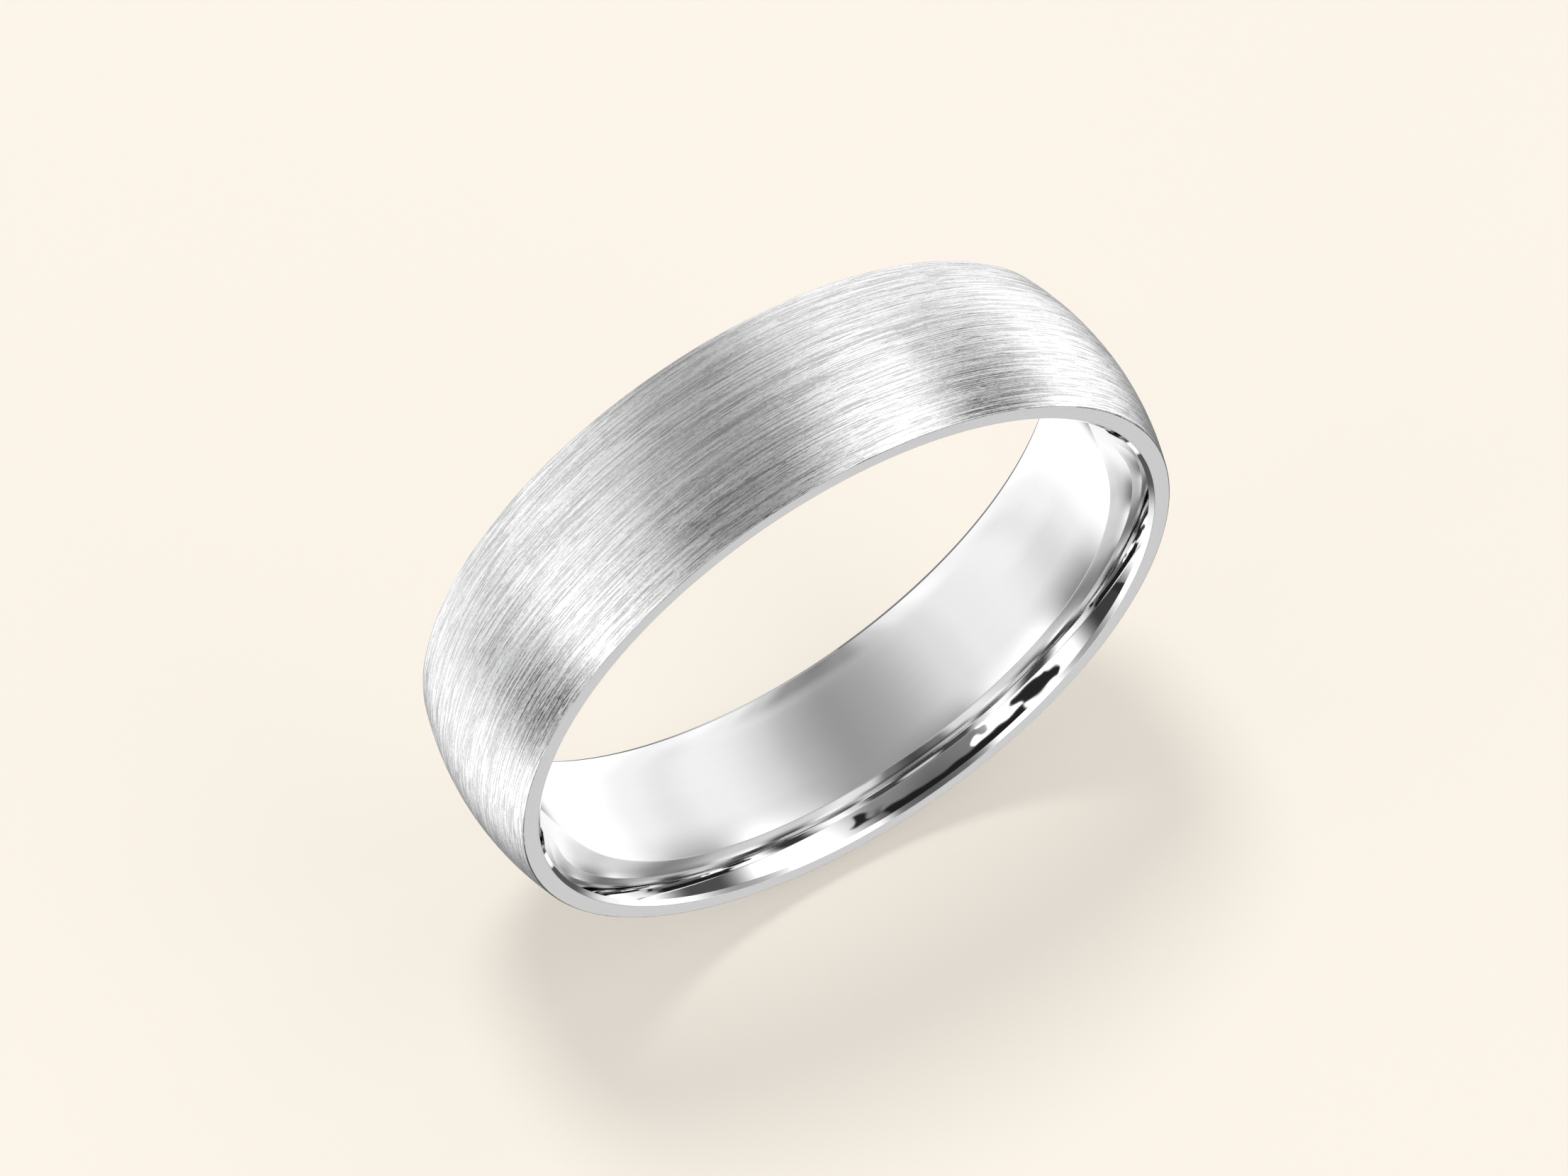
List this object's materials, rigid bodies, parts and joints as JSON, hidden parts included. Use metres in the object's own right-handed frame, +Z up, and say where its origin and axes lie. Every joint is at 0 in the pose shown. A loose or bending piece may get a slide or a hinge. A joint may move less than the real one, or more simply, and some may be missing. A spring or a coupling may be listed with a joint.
{
  "type": "wedding band",
  "caption": "Plain white-metal wedding band with a brushed domed outside, flat side faces and a polished comfort-fit bore.",
  "frame": {"origin": "centre of the finger bore, in the middle of the band's width", "axes": "+Y along the bore, +Z up with the ring standing on its rim, +X to the right of someone looking along +Y"},
  "size_m": [0.0238, 0.006, 0.0238],
  "materials": {
    "white_metal": "white precious metal, brushed round the dome, satin on the side faces, polished in the bore"
  },
  "bodies": {
    "root": {"band": "white_metal"}
  },
  "joints": []
}
